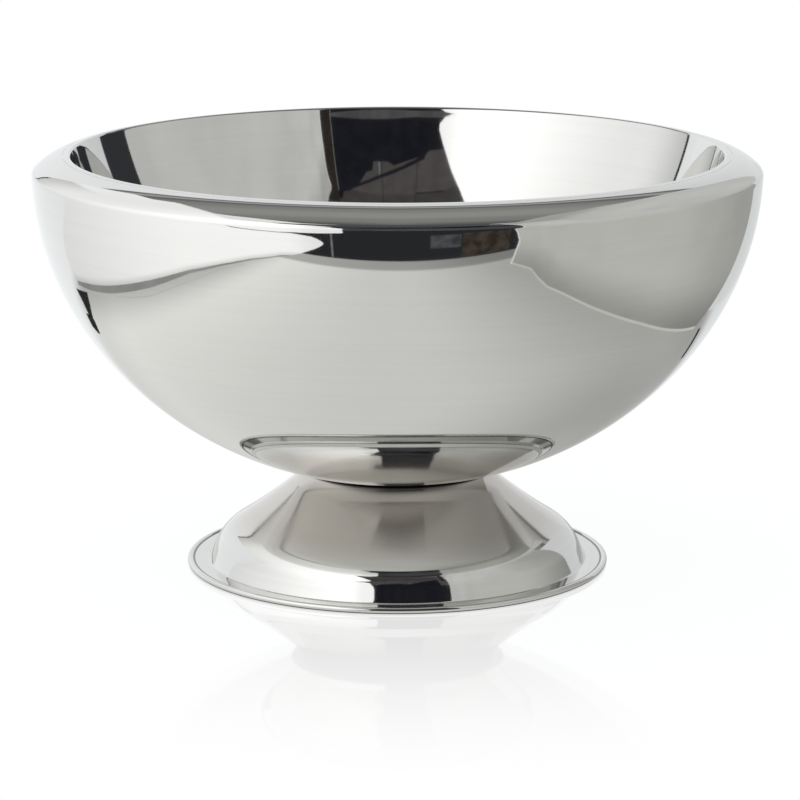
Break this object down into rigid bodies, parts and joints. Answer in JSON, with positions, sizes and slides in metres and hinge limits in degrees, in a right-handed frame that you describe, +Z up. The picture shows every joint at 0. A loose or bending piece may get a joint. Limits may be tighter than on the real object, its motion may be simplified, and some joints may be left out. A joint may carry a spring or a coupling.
{
  "type": "punch bowl",
  "caption": "Double-walled punch bowl of polished steel with a sloping rim band, on a flared pedestal foot with a rolled edge; holds drinks on ice or punch.",
  "frame": {"origin": "centre of the foot's resting plane, on the bowl's axis", "axes": "+Z up along the bowl's axis, out of its mouth; the bowl is round, so X and Y are free"},
  "size_m": [0.3998, 0.3996, 0.2308],
  "materials": {
    "polished_steel": "mirror-polished stainless steel",
    "satin_steel": "mill-finish stainless steel, not polished",
    "zinc_plated_steel": "bright zinc plating",
    "black_rubber": "matt",
    "grey_foam": "closed-cell foam"
  },
  "bodies": {
    "root": {"inner_bowl": "polished_steel", "outer_shell": "polished_steel", "pedestal_foot": "polished_steel", "base_plate": "satin_steel", "foot_stud": "zinc_plated_steel", "spacer_pad": "grey_foam", "seat_gasket": "black_rubber", "flat_washer": "zinc_plated_steel", "lock_washer": "zinc_plated_steel", "hex_nut": "zinc_plated_steel"}
  },
  "joints": []
}
